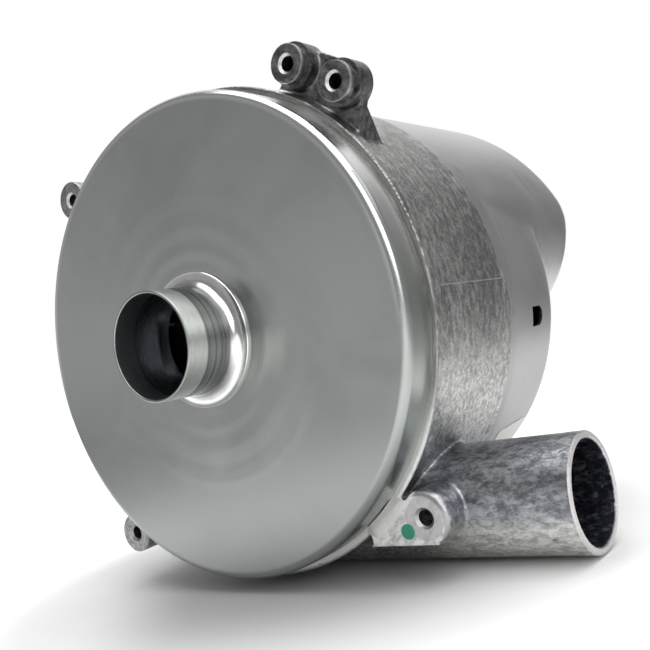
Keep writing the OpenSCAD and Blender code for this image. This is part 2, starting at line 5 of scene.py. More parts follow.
import bmesh
import bpy
from mathutils import Matrix, Vector


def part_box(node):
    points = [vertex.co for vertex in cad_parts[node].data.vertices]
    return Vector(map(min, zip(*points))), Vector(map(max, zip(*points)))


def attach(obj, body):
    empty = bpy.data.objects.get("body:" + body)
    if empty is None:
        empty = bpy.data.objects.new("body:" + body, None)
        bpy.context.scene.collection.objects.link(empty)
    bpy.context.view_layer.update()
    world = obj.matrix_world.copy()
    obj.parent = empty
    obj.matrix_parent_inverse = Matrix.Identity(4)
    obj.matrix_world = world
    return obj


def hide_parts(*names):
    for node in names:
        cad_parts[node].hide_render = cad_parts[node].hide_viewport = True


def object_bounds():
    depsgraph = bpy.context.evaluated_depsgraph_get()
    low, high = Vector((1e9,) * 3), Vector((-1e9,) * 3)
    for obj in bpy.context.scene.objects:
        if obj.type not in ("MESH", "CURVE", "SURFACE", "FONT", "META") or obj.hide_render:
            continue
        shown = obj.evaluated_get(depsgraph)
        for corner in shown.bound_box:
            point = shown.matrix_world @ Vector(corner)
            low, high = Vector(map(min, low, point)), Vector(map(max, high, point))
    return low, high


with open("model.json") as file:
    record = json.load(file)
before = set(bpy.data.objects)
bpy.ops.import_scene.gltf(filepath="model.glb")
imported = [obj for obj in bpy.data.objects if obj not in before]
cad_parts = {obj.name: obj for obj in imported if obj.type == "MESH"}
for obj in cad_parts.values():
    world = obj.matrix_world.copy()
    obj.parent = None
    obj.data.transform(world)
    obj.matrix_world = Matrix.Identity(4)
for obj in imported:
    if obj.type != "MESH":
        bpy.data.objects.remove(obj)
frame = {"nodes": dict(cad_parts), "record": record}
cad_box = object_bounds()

MM = 0.001
NODES = frame["nodes"]
HOUSING = "housing"

# Camera, from the fit of the photograph: place in metres, angles in degrees
CAMERA_AT = (0.1821, -0.1857, -0.0125)
CAMERA_AZIMUTH = 37.46
CAMERA_ELEVATION = -2.12
CAMERA_ROLL = -11.56
CAMERA_LENS = 46.8
SENSOR = 36.0
# Ways on the floor, as the photograph sees them: back from the camera, and to the right
BACK = (-math.sin(math.radians(CAMERA_AZIMUTH)), math.cos(math.radians(CAMERA_AZIMUTH)), 0.0)
SIDE = (BACK[1], -BACK[0], 0.0)


def node_box(node):
    """Lowest and highest corner of a node, in millimetres."""
    low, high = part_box(node)
    return low / MM, high / MM


def mount(name):
    """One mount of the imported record, by name."""
    return next(m for m in frame["record"]["mounts"] if m["name"] == name)


# Sizes in millimetres, read from the frame
shell_low, shell_high = node_box("inlet_shell")
tube_low, tube_high = node_box("inlet_tube")
cover_low, cover_high = node_box("rear_cover")
SHELL_R = shell_high.x
SHELL_SKIRT_Y = shell_high.y
SHELL_SEAT_Y = shell_low.y
TUBE_END_Y = tube_low.y
TUBE_FOOT_R = tube_high.x
COVER_R = -cover_low.x
COVER_Y0 = cover_low.y
DOME_Y1 = cover_high.y
TUBE_R = mount("inlet")["dims"]["r_mm"]
HORN_R = mount("discharge")["dims"]["r_mm"]
HORN_AXIS = Vector(mount("discharge")["pos_m"]) / MM
HORN_END_X = node_box("fan_housing")[1].x
BOSS_HALF = mount("mounting_holes")["dims"]["spacing_x_mm"] / 2
BOSS_HOLE_R = mount("mounting_holes")["dims"]["hole_r_mm"]
EXTRA_BOSS = Vector(mount("extra_hole")["pos_m"]) / MM

# Sizes in millimetres that repeat the part's own
SHELL_T = 1.0
SHELL_DEPTH = 11.0
SHELL_CORNER_R = 2.5
TUBE_WALL = 0.9
TUBE_FOOT_T = 0.8
TUBE_NECK_R = TUBE_R + 0.8
TUBE_BEAD_R = TUBE_R + 1.7
HORN_WALL = 2.0
BOSS_R = 6.5
LUG_BOSS_R = 5.5
BOSS_SINK = 0.75
COVER_T = 0.9
COVER_STRAIGHT = 7.4
COVER_Y1 = COVER_Y0 + 43.0
COVER_DRAFT = 2.0
COVER_CORNER_R = 4.2
DOME_R = 45.4
DOME_OFF = 34.0
DOME_ANGLE = 47.0
DOME_CORNER_R = 6.0
DOME_TIP_R = 20.0
SLOT_Y0 = COVER_Y0 + 21.7
SLOT_L = 8.8
SLOT_W = 6.4
SLOT_ANGLE = -10.7
CAST_R = 72.8
LIP_END_Y = COVER_Y0 + 2.3
BOSS_DEPTH = 9.0
# Radius at the axis of a tool or block that is turned as a full round
HUB_R = 0.01


# Meshes

def add_object(name, data):
    """Links new data to the scene as an object."""
    obj = bpy.data.objects.new(name, data)
    bpy.context.scene.collection.objects.link(obj)
    return obj


def smooth(obj, angle=40):
    """Smooth shading, with edges sharper than the angle left crisp."""
    obj.data.polygons.foreach_set("use_smooth", [True] * len(obj.data.polygons))
    obj.data.set_sharp_from_angle(angle=math.radians(angle))


def turn_into(bm, profile, where=Matrix.Identity(4), segments=192):
    """Adds a closed profile of (radius, y), turned about Y and then put in place, all in millimetres."""
    rings = []
    for i in range(segments):
        a = 2 * math.pi * i / segments
        c, s = math.cos(a), math.sin(a)
        points = [where @ Vector((r * c, y, r * s)) for r, y in profile]
        rings.append([bm.verts.new(p * MM) for p in points])
    n = len(profile)
    for i in range(segments):
        here, there = rings[i], rings[(i + 1) % segments]
        for j in range(n):
            k = (j + 1) % n
            bm.faces.new((here[j], here[k], there[k], there[j]))


def loft_into(bm, rings):
    """Adds a block through rings of points, in millimetres, with flat ends."""
    rings = [[bm.verts.new(Vector(p) * MM) for p in ring] for ring in rings]
    n = len(rings[0])
    for here, there in zip(rings, rings[1:]):
        for j in range(n):
            k = (j + 1) % n
            bm.faces.new((here[j], here[k], there[k], there[j]))
    for end in (rings[0], rings[-1]):
        bm.faces.new(end)


def finish_mesh(name, bm, angle=40):
    """Turns a bmesh into an object with outward faces."""
    bmesh.ops.remove_doubles(bm, verts=bm.verts, dist=1e-7)
    bmesh.ops.dissolve_degenerate(bm, edges=bm.edges, dist=1e-8)
    bmesh.ops.recalc_face_normals(bm, faces=bm.faces)
    mesh = bpy.data.meshes.new(name)
    bm.to_mesh(mesh)
    bm.free()
    obj = add_object(name, mesh)
    smooth(obj, angle)
    return obj


def turned(name, profile, where=Matrix.Identity(4), segments=192, angle=40):
    """A ring turned from a closed profile."""
    bm = bmesh.new()
    turn_into(bm, profile, where, segments)
    return finish_mesh(name, bm, angle)


def lofted(name, rings):
    """A block through rings of points."""
    bm = bmesh.new()
    loft_into(bm, rings)
    return finish_mesh(name, bm)


def swept(name, profile, start, end, steps):
    """A profile of (radius, y) turned part of the way about Y, angles in degrees, with closed ends."""
    turns = [math.radians(start + (end - start) * i / steps) for i in range(steps + 1)]
    return lofted(name, [[(r * math.cos(a), y, r * math.sin(a)) for r, y in profile] for a in turns])


def arc(cx, cy, r, a0, a1, n):
    """Points along an arc, angles in degrees."""
    angles = [math.radians(a0 + (a1 - a0) * i / n) for i in range(n + 1)]
    return [(cx + r * math.cos(a), cy + r * math.sin(a)) for a in angles]


def with_modifiers(obj):
    """Applies an object's modifiers to its mesh."""
    shown = obj.evaluated_get(bpy.context.evaluated_depsgraph_get())
    mesh = bpy.data.meshes.new_from_object(shown)
    obj.modifiers.clear()
    obj.data = mesh


def soften(obj, voxel, passes, keep=1.0):
    """Rounds every edge of a mesh, as on a casting or a pressing."""
    even = obj.modifiers.new("even", "REMESH")
    even.mode = "VOXEL"
    even.voxel_size = voxel * MM
    relax = obj.modifiers.new("relax", "SMOOTH")
    relax.iterations = passes
    relax.factor = 0.5
    if keep < 1:
        thin = obj.modifiers.new("thin", "DECIMATE")
        thin.ratio = keep
    with_modifiers(obj)


def combine(obj, tool, operation):
    """Applies a boolean with a tool and deletes the tool."""
    change = obj.modifiers.new("change", "BOOLEAN")
    change.operation = operation
    change.solver = "EXACT"
    change.object = tool
    with_modifiers(obj)
    bpy.data.objects.remove(tool)


def cut(obj, tool):
    """Cuts a tool's shape out of an object."""
    combine(obj, tool, "DIFFERENCE")


def place(obj, node=None):
    """Puts a finished piece on the housing and hides the node that it stands for."""
    if node:
        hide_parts(node)
    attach(obj, HOUSING)


# Materials

class Nodes:
    """A node tree with short calls for the nodes used here."""

    def __init__(self, tree, coordinates):
        self.tree = tree
        self.place = self.add("ShaderNodeTexCoord").outputs[coordinates]

    def add(self, kind, **settings):
        """Adds a node and sets its properties."""
        node = self.tree.nodes.new(kind)
        for key, value in settings.items():
            setattr(node, key, value)
        return node

    def put(self, value, socket):
        """Links an output to a socket, or sets a plain value on it."""
        if isinstance(value, bpy.types.NodeSocket):
            self.tree.links.new(value, socket)
        else:
            socket.default_value = value

    def math(self, operation, a, b=0.0, clamp=False):
        """A sum, product or other operation on two values."""
        node = self.add("ShaderNodeMath", operation=operation, use_clamp=clamp)
        self.put(a, node.inputs[0])
        self.put(b, node.inputs[1])
        return node.outputs[0]

    def split(self, vector):
        """The x, y and z of a vector."""
        node = self.add("ShaderNodeSeparateXYZ")
        self.put(vector, node.inputs[0])
        return node.outputs

    def join(self, x, y, z):
        """A vector from three values."""
        node = self.add("ShaderNodeCombineXYZ")
        for value, socket in zip((x, y, z), node.inputs):
            self.put(value, socket)
        return node.outputs[0]

    def length(self, a, b):
        """Length of a flat vector from its two parts."""
        return self.math("SQRT", self.math("ADD", self.math("MULTIPLY", a, a), self.math("MULTIPLY", b, b)))

    def along(self, vector, way):
        """How far a vector reaches along a fixed way."""
        node = self.add("ShaderNodeVectorMath", operation="DOT_PRODUCT")
        self.put(vector, node.inputs[0])
        node.inputs[1].default_value = way
        return node.outputs["Value"]

    def scaled(self, vector, x, y, z):
        """A vector stretched along each axis."""
        node = self.add("ShaderNodeVectorMath", operation="MULTIPLY")
        self.put(vector, node.inputs[0])
        node.inputs[1].default_value = (x, y, z)
        return node.outputs[0]

    def wrapped(self):
        """Place on a round wall: way round the shaft in metres, way along it, and radius."""
        x, y, z = self.split(self.place)
        radius = self.length(x, z)
        way = self.math("MULTIPLY", self.math("ARCTAN2", z, x), SHELL_R * MM)
        return self.join(way, y, radius), radius

    def noise(self, scale, detail=4.0, rough=0.55, vector=None, warp=0.0):
        """Cloudy noise with a middle of one half."""
        node = self.add("ShaderNodeTexNoise")
        self.put(self.place if vector is None else vector, node.inputs["Vector"])
        node.inputs["Scale"].default_value = scale
        node.inputs["Detail"].default_value = detail
        node.inputs["Roughness"].default_value = rough
        node.inputs["Distortion"].default_value = warp
        return node.outputs["Fac"]

    def range(self, value, low, high, to_low=0.0, to_high=1.0):
        """Maps a value from one range to another, held at both ends."""
        node = self.add("ShaderNodeMapRange")
        node.interpolation_type = "SMOOTHSTEP"
        self.put(value, node.inputs["Value"])
        for key, number in zip(("From Min", "From Max", "To Min", "To Max"), (low, high, to_low, to_high)):
            node.inputs[key].default_value = number
        return node.outputs[0]

    def mix(self, share, a, b):
        """A colour between two colours."""
        node = self.add("ShaderNodeMix", data_type="RGBA")
        self.put(share, node.inputs[0])
        for value, socket in ((a, node.inputs[6]), (b, node.inputs[7])):
            self.put((*value, 1.0) if isinstance(value, tuple) else value, socket)
        return node.outputs[2]

    def bump(self, height, distance, strength=1.0):
        """Small relief of a given depth in metres."""
        node = self.add("ShaderNodeBump")
        node.inputs["Strength"].default_value = strength
        node.inputs["Distance"].default_value = distance
        self.put(height, node.inputs["Height"])
        return node.outputs[0]


class Shader(Nodes):
    """One procedural material, built node by node."""

    def __init__(self, name):
        self.material = bpy.data.materials.new(name)
        self.material.use_nodes = True
        super().__init__(self.material.node_tree, "Object")
        self.surface = self.tree.nodes["Principled BSDF"]

    def set(self, **values):
        """Sets the surface's sockets by name, with spaces as underscores."""
        for key, value in values.items():
            self.put(value, self.surface.inputs[key.replace("_", " ")])


def dress(obj, shader):
    """Gives an object one material in all its slots."""
    obj.data.materials.clear()
    obj.data.materials.append(shader.material)


def shell_sheet():
    """Satin drawn sheet with smudges, with painted shade low on the face and a painted highlight on the upper
    skirt and rolled corner.
    """
    s = Shader("shell_sheet")
    smudge = s.noise(26, 5, 0.6, warp=0.6)
    colour = s.mix(s.range(smudge, 0.35, 0.7), (0.4, 0.42, 0.407), (0.45, 0.47, 0.455))
    x, y, z = s.split(s.place)
    # Painted shade: the face is darkened towards its bottom.
    colour = s.mix(s.range(z, -0.055, -0.015, 0.8, 0.0), colour, (0.325, 0.341, 0.331))
    corner_r, corner_y = SHELL_R - SHELL_CORNER_R, SHELL_SKIRT_Y - SHELL_DEPTH + SHELL_CORNER_R
    # Painted highlight: the skirt is made much paler on its upper half.
    skirt = s.range(y, (corner_y - 0.6) * MM, (corner_y + 0.6) * MM)
    colour = s.mix(skirt, colour, s.mix(s.range(z, -0.01, 0.045), (0.4, 0.42, 0.4), (0.9, 0.91, 0.9)))
    # Painted highlight: the rolled corner is made pale on its upper half only, where its polish also lowers the
    # roughness.
    corner = s.range(s.length(x, z), (corner_r - 0.8) * MM, (corner_r + 0.4) * MM)
    corner = s.math("MULTIPLY", s.math("SUBTRACT", corner, skirt, True), s.range(z, -0.02, 0.02))
    colour = s.mix(corner, colour, (0.66, 0.68, 0.66))
    polish = s.math("MULTIPLY", corner, -0.1)
    rough = s.math("ADD", s.range(smudge, 0.3, 0.75, 0.27, 0.33), polish)
    s.set(Base_Color=colour, Metallic=1.0, Roughness=rough)
    return s


def tube_metal():
    """Bright tube with rings from forming: a satin band at its end, then a dark brushed zone down to the foot,
    and painted shade on the wall inside.
    """
    s = Shader("tube_metal")
    x, y = s.split(s.place)[:2]
    wall, radius = s.wrapped()
    rings = s.noise(1100, 4, 0.65, s.join(s.math("MULTIPLY", x, 0.02), y, 0.0))
    streak = s.noise(1.0, 4, 0.6, s.scaled(wall, 60, 1400, 60))
    end, foot = TUBE_END_Y * MM, (SHELL_SEAT_Y - TUBE_FOOT_T) * MM
    band_from, band_to = end + 0.0068, end + 0.0074
    above_foot = s.range(y, foot - 0.0032, foot - 0.002, 1.0, 0.0)
    zone = s.math("MULTIPLY", s.range(y, band_from, band_to), above_foot)
    colour = s.mix(s.range(streak, 0.3, 0.7), (0.68, 0.69, 0.68), (0.8, 0.805, 0.795))
    brushed = s.mix(s.range(rings, 0.35, 0.65), (0.15, 0.156, 0.153), (0.36, 0.365, 0.36))
    colour = s.mix(zone, colour, brushed)
    # Painted shade: the wall inside the bore is given a darker colour than the outside.
    inside = s.range(radius, (TUBE_R - 0.75) * MM, (TUBE_R - 0.6) * MM, 1.0, 0.0)
    colour = s.mix(inside, colour, (0.3, 0.32, 0.34))
    colour = s.mix(s.range(y, end + 0.0002, end + 0.0005, 1.0, 0.0), colour, (0.36, 0.37, 0.36))
    band = s.range(y, band_from, band_to, 1.0, 0.0)
    rough = s.math("ADD", s.range(rings, 0.3, 0.7, 0.14, 0.2), s.math("MULTIPLY", zone, 0.12))
    rough = s.math("ADD", rough, s.math("MULTIPLY", band, 0.16))
    s.set(Base_Color=colour, Metallic=1.0, Roughness=rough, Normal=s.bump(rings, 6e-6))
    return s


def cast_metal(name="cast_metal"):
    """Die-cast metal: mottled and pitted, charcoal on the lugs with painted highlights on their edges, stained on
    the horn with painted light on its underside, bright where machined, with a painted highlight on the lower
    turned ledge.
    """
    s = Shader(name)
    wall, radius = s.wrapped()
    x, y, z = s.split(s.place)
    horn_y = s.math("SUBTRACT", y, HORN_AXIS.y * MM)
    horn_z = s.math("SUBTRACT", z, HORN_AXIS.z * MM)
    from_horn = s.length(horn_y, horn_z)
    broad = s.noise(42, 4, 0.6, warp=0.5)
    mottle = s.noise(1.0, 7, 0.72, s.scaled(wall, 260, 560, 400), warp=0.3)
    grain = s.noise(1500, 3, 0.6)
    streaks = s.range(s.noise(1.0, 3, 0.6, s.scaled(wall, 230, 900, 300)), 0.66, 0.72)
    pitted = s.math("MULTIPLY", streaks, s.range(s.noise(90, 3), 0.5, 0.58))
    tone = s.math("ADD", s.math("MULTIPLY", broad, 0.25), s.math("MULTIPLY", mottle, 0.5))
    tone = s.range(s.math("ADD", tone, s.math("MULTIPLY", grain, 0.25)), 0.4, 0.62)
    colour = s.mix(tone, (0.22, 0.22, 0.217), (0.62, 0.62, 0.61))
    low = s.range(z, -0.03, -0.008, 1.0, 0.0)
    grainy = s.mix(s.range(s.noise(700, 4, 0.7), 0.4, 0.6), (0.2, 0.2, 0.2), (0.72, 0.72, 0.71))
    colour = s.mix(s.math("MULTIPLY", low, 0.5), colour, grainy)

    horn = s.math("MULTIPLY", s.range(x, 0.045, 0.06), s.range(z, -0.045, -0.041, 1.0, 0.0))
    stain = s.noise(1.0, 9, 0.74, s.scaled(s.place, 210, 420, 420), warp=0.5)
    wrinkle = s.noise(1.0, 6, 0.75, s.scaled(s.place, 500, 900, 900), warp=0.4)
    stain = s.math("ADD", s.math("MULTIPLY", stain, 0.6), s.math("MULTIPLY", wrinkle, 0.4))
    # Painted light: the horn's pale underside is partly real wear and partly lifted to stand in for light on its
    # shaded side; its top is stained dark blue.
    wear_and_painted_light = s.mix(s.range(stain, 0.4, 0.58), (0.46, 0.46, 0.45), (0.96, 0.96, 0.94))
    blued = s.mix(s.range(stain, 0.4, 0.6), (0.13, 0.14, 0.165), (0.52, 0.53, 0.56))
    on_top = s.range(s.math("ADD", horn_z, s.math("MULTIPLY", broad, 0.012)), 0.0, 0.006)
    colour = s.mix(s.math("MULTIPLY", horn, 0.9), colour, s.mix(on_top, wear_and_painted_light, blued))

    flange_edge = s.range(y, 0.007, 0.0074, 0.0748, 0.0731)
    proud = s.range(s.math("SUBTRACT", radius, flange_edge), 0.0, 0.0005)
    left = s.range(x, -0.039, -0.036, 0.45, 0.0)
    upper = s.math("MULTIPLY", s.range(z, 0.036, 0.039), s.range(x, 0.0, 0.01))
    dark = s.math("MULTIPLY", proud, s.math("MAXIMUM", upper, left))
    scale = s.mix(s.range(mottle, 0.35, 0.65), (0.08, 0.08, 0.085), (0.26, 0.26, 0.265))
    # Painted highlight: the lugs' sharp edges, found by pointiness, are coloured pale grey.
    edges = s.range(s.add("ShaderNodeNewGeometry").outputs["Pointiness"], 0.54, 0.66)
    scale = s.mix(s.math("MULTIPLY", edges, s.range(wrinkle, 0.46, 0.6)), scale, (0.5, 0.5, 0.5))
    colour = s.mix(dark, colour, scale)

    ledge = s.math("MULTIPLY", s.range(radius, 0.0771, 0.0775, 1.0, 0.0),
                   s.range(y, 0.0019, 0.0023, 1.0, 0.0))
    lathe = s.noise(1.0, 5, 0.7, s.scaled(wall, 90, 90, 1500))
    # Painted light: the turned ledge is dark on its upper part, and its lower part gets a near-white painted
    # highlight.
    turned_face = s.mix(s.range(lathe, 0.35, 0.65), (0.2, 0.2, 0.195), (0.42, 0.42, 0.41))
    painted_lit_face = s.mix(lathe, (0.7, 0.7, 0.69), (0.97, 0.97, 0.96))
    turned_face = s.mix(s.range(z, -0.05, -0.02, 1.0, 0.0), turned_face, painted_lit_face)
    colour = s.mix(ledge, colour, turned_face)
    pad = s.math("MULTIPLY", s.range(x, 0.02, 0.03), s.range(z, -0.05, -0.04, 1.0, 0.0))
    pad = s.math("MULTIPLY", pad, s.range(y, 0.0004, 0.0007, 0.8, 0.0))
    colour = s.mix(pad, colour, s.mix(s.range(mottle, 0.35, 0.6), (0.42, 0.42, 0.41), (0.97, 0.97, 0.96)))
    sunk = s.math("MULTIPLY", s.range(y, 0.00003, 0.00008), s.range(y, 0.0009, 0.001, 1.0, 0.0))
    boss = s.math("MULTIPLY", sunk, s.range(radius, 0.0776, 0.0779))
    colour = s.mix(boss, colour, (0.46, 0.46, 0.46))
    rim = s.math("MULTIPLY", s.range(x, (HORN_END_X - 0.5) * MM, (HORN_END_X - 0.35) * MM), horn)
    colour = s.mix(rim, colour, s.mix(grain, (0.45, 0.44, 0.44), (0.8, 0.78, 0.77)))
    colour = s.mix(s.math("MULTIPLY", pitted, 0.85), colour, (0.04, 0.04, 0.04))

    bore = s.math("MULTIPLY", s.range(from_horn, 0.0139, 0.0142, 1.0, 0.0), s.range(x, 0.03, 0.035))
    deposit = s.mix(s.range(stain, 0.47, 0.62), (0.07, 0.075, 0.11), (0.55, 0.56, 0.6))
    colour = s.mix(bore, colour, deposit)
    rough = s.math("ADD", s.range(mottle, 0.3, 0.7, 0.28, 0.4), s.math("MULTIPLY", grain, 0.08))
    relief = s.math("SUBTRACT", s.math("ADD", grain, mottle), s.math("MULTIPLY", pitted, 0.8))
    relief = s.math("MULTIPLY", relief, s.math("ADD", s.math("MULTIPLY", low, 0.8), 1.0))
    s.set(Base_Color=colour, Metallic=1.0, Roughness=rough, Normal=s.bump(relief, 4e-5))
    return s


def cover_sheet():
    """Smooth satin sheet of the rear cover, with painted shade low down."""
    s = Shader("cover_sheet")
    smudge = s.noise(30, 5, 0.6, warp=0.5)
    scuff = s.range(s.noise(1.0, 5, 0.7, s.scaled(s.wrapped()[0], 60, 240, 60)), 0.56, 0.7)
    colour = s.mix(s.range(smudge, 0.35, 0.7), (0.5, 0.51, 0.5), (0.57, 0.58, 0.57))
    colour = s.mix(s.math("MULTIPLY", scuff, 0.5), colour, (0.36, 0.36, 0.36))
    # Painted shade: the cover is darkened towards its bottom.
    colour = s.mix(s.range(s.split(s.place)[2], -0.035, -0.01, 0.8, 0.0), colour, (0.25, 0.254, 0.25))
    s.set(Base_Color=colour, Metallic=1.0, Roughness=s.range(smudge, 0.3, 0.7, 0.27, 0.34))
    return s


def machined(name, colour, rough):
    """Plain metal with a faint turned grain."""
    s = Shader(name)
    grain = s.noise(700, 3, 0.6)
    tone = tuple(c * 0.8 for c in colour)
    s.set(Base_Color=s.mix(grain, tone, colour), Metallic=1.0,
          Roughness=s.range(grain, 0.3, 0.7, rough * 0.85, rough * 1.15), Normal=s.bump(grain, 6e-6))
    return s


def plain(name, colour, rough):
    """Moulded plastic, rubber, film or laminate with a fine skin."""
    s = Shader(name)
    grain = s.noise(1200, 3, 0.6)
    tone = tuple(c * 0.82 for c in colour)
    s.set(Base_Color=s.mix(grain, tone, colour), Roughness=s.range(grain, 0.3, 0.7, rough * 0.9, rough * 1.1),
          Normal=s.bump(grain, 1e-5))
    return s


# Pieces of the outside

def add_shell():
    """The drawn inlet shell: a face that rises to the tube, faint draw rings, and a rolled corner."""
    rim_y = SHELL_SKIRT_Y - SHELL_DEPTH
    seat_r = TUBE_FOOT_R + 0.5
    edge_r = SHELL_R - SHELL_CORNER_R
    hole_r = TUBE_NECK_R + 0.1
    rings = ((23.2, -0.05), (26.2, 0.04), (29.6, -0.03), (33.4, 0.03), (38.0, -0.025), (43.0, 0.02))
    ring_w = 1.5

    def face_y(r):
        rise = (1 - (r - seat_r) / (edge_r - seat_r)) ** 1.5
        wave = sum(h * math.exp(-((r - at) / ring_w) ** 2) for at, h in rings)
        return rim_y - (rim_y - SHELL_SEAT_Y) * rise - wave

    steps = [seat_r + (edge_r - seat_r) * i / 90 for i in range(91)]
    corner_y = rim_y + SHELL_CORNER_R
    outer = [(hole_r, SHELL_SEAT_Y)] + [(r, face_y(r)) for r in steps]
    outer += arc(edge_r, corner_y, SHELL_CORNER_R, -86, 0, 14) + [(SHELL_R, SHELL_SKIRT_Y)]
    inner = [(SHELL_R - SHELL_T, SHELL_SKIRT_Y)] + arc(edge_r, corner_y, SHELL_CORNER_R - SHELL_T, 0, -86, 14)
    inner += [(r, face_y(r) + SHELL_T) for r in reversed(steps)] + [(hole_r, SHELL_SEAT_Y + SHELL_T)]
    obj = turned("inlet_shell_sheet", outer + inner, segments=256)
    dress(obj, shell_sheet())
    place(obj, "inlet_shell")


def add_tube():
    """The inlet tube with its swept foot and a rounded lip."""
    bore = TUBE_R - TUBE_WALL
    foot_y = SHELL_SEAT_Y - TUBE_FOOT_T
    sweep = TUBE_FOOT_R - TUBE_R - 0.5
    back_y = SHELL_SEAT_Y + SHELL_T
    end_y = tube_high.y
    lip_r = TUBE_WALL / 2
    profile = [(bore, end_y)] + arc(bore + lip_r, TUBE_END_Y + lip_r, lip_r, 180, 360, 8)
    profile += arc(TUBE_R + sweep, foot_y - sweep, sweep, 180, 90, 14)
    profile += [(TUBE_FOOT_R - 0.2, foot_y), (TUBE_FOOT_R, foot_y + 0.2), (TUBE_FOOT_R, SHELL_SEAT_Y)]
    profile += [(TUBE_NECK_R, SHELL_SEAT_Y), (TUBE_NECK_R, back_y)]
    profile += [(TUBE_BEAD_R, back_y), (TUBE_BEAD_R, end_y)]
    obj = turned("inlet_tube_turned", profile, segments=160)
    dress(obj, tube_metal())
    place(obj, "inlet_tube")


def boss_places():
    """Centres of the five bosses, seen from the front."""
    corners = [(x, z) for x in (-BOSS_HALF, BOSS_HALF) for z in (-BOSS_HALF, BOSS_HALF)]
    return corners + [(EXTRA_BOSS.x, EXTRA_BOSS.z)]


def boss_outer(x, z):
    """Radius of a boss's turned end, smaller on the upper right lug."""
    return LUG_BOSS_R if x > 0 and z > 0 else BOSS_R


def add_casting():
    """The cast housing with softened edges, machined boss faces and countersunk holes."""
    body = add_object("fan_housing_cast", NODES["fan_housing"].data.copy())
    inner, outer, end_y = COVER_R - 0.6, CAST_R + 2, COVER_Y0 + 4
    ring = [(inner, COVER_Y0), (outer, COVER_Y0), (outer, end_y), (inner, end_y)]
    cut(body, turned("lip_tool", ring))
    soften(body, voxel=0.5, passes=2, keep=0.4)
    milled, sunk = 0.06, BOSS_HOLE_R + BOSS_SINK
    drill = [(0.001, -1), (BOSS_R - 0.6, -1), (BOSS_R - 0.6, milled), (sunk, milled),
             (BOSS_HOLE_R, milled + BOSS_SINK), (BOSS_HOLE_R, BOSS_DEPTH), (0.001, BOSS_DEPTH)]
    bm = bmesh.new()
    for x, z in boss_places():
        turn_into(bm, drill, Matrix.Translation((x, 0, z)), 48)
    cut(body, finish_mesh("boss_tools", bm))
    shell_gap_r, relief_r, ledge_y = SHELL_R + 0.25, 77.4, SHELL_SKIRT_Y - 0.05
    relief = [(shell_gap_r, -2), (relief_r, -2), (relief_r, ledge_y), (shell_gap_r, ledge_y)]
    cut(body, turned("relief_tool", relief))
    cut(body, edge_tool(outer_r=7.3, round_r=2.3))
    step_r, step_y = BOSS_R + 0.15, 3.2
    step = [(LUG_BOSS_R, -1), (step_r, -1), (step_r, step_y), (LUG_BOSS_R, step_y)]
    bm = bmesh.new()
    for x, z in boss_places():
        if boss_outer(x, z) < BOSS_R:
            turn_into(bm, step, Matrix.Translation((x, 0, z)), 64)
    cut(body, finish_mesh("step_tools", bm))
    cut(body, lug_tool())
    smooth(body, 40)
    metal = cast_metal()
    dress(body, metal)
    place(body, "fan_housing")
    add_boss_rings(metal)
    add_lip(metal)
    add_horn_rim(metal)
    add_parting()


def add_boss_rings(metal):
    """Turned ends of the four free bosses, with crisp faces, small chamfers and countersinks."""
    deep, edge = 3.4, 0.25
    bm = bmesh.new()
    for x, z in boss_places():
        outer = boss_outer(x, z) + 0.03
        ring = [(BOSS_HOLE_R + BOSS_SINK, 0), (outer - edge, 0), (outer, edge), (outer, deep),
                (BOSS_HOLE_R, deep), (BOSS_HOLE_R, BOSS_SINK)]
        if (x, z) != (BOSS_HALF, -BOSS_HALF):
            turn_into(bm, ring, Matrix.Translation((x, 0, z)), 64)
    obj = finish_mesh("boss_rings", bm, 30)
    dress(obj, metal)
    place(obj)


def lug_tool():
    """Tool that thins the back of the upper right lug and leaves a flared gusset at its foot."""
    rear_y, flare_z, foot_y, foot_z, top_z = 9.4, 52.0, 21.2, 41.0, 82.0
    end_y, left_x, right_x = foot_y + 12.0, 25.0, 75.0
    outline = [(rear_y, top_z), (rear_y, flare_z), (foot_y, foot_z), (end_y, foot_z), (end_y, top_z)]
    tool = lofted("lug_tool", [[(x, y, z) for y, z in outline] for x in (left_x, right_x)])
    body_r, body_end = CAST_R + 0.15, 50
    cut(tool, turned("body_tool", [(HUB_R, 0), (body_r, 0), (body_r, body_end), (HUB_R, body_end)]))
    return tool


def edge_tool(outer_r, round_r):
    """Tool that rounds the free edge of the lower right boss, fading out towards the pad."""
    start, end, steps, spare = 128, -58, 40, 1.5
    rings = []
    for i in range(steps + 1):
        a = math.radians(start + (end - start) * i / steps)
        r = 0.03 + round_r * math.sin(math.pi * i / steps) ** 0.6
        profile = [(outer_r - r, -1), (outer_r + spare, -1), (outer_r + spare, r), (outer_r, r)]
        profile += arc(outer_r - r, r, r, 0, -90, 8)[1:]
        rings.append([(BOSS_HALF + q * math.cos(a), y, -BOSS_HALF + q * math.sin(a)) for q, y in profile])
    return lofted("edge_tool", rings)


def add_lip(metal):
    """Lip of the casting's lower half that laps over the cover's front edge."""
    inner, start, edge = COVER_R + 0.08, COVER_Y0 - 0.8, 0.15
    profile = [(inner, start), (CAST_R + 0.02, start), (CAST_R + 0.02, LIP_END_Y - edge),
               (CAST_R - edge, LIP_END_Y), (inner, LIP_END_Y)]
    obj = swept("casting_lip", profile, 0, -180, 96)
    dress(obj, metal)
    place(obj)


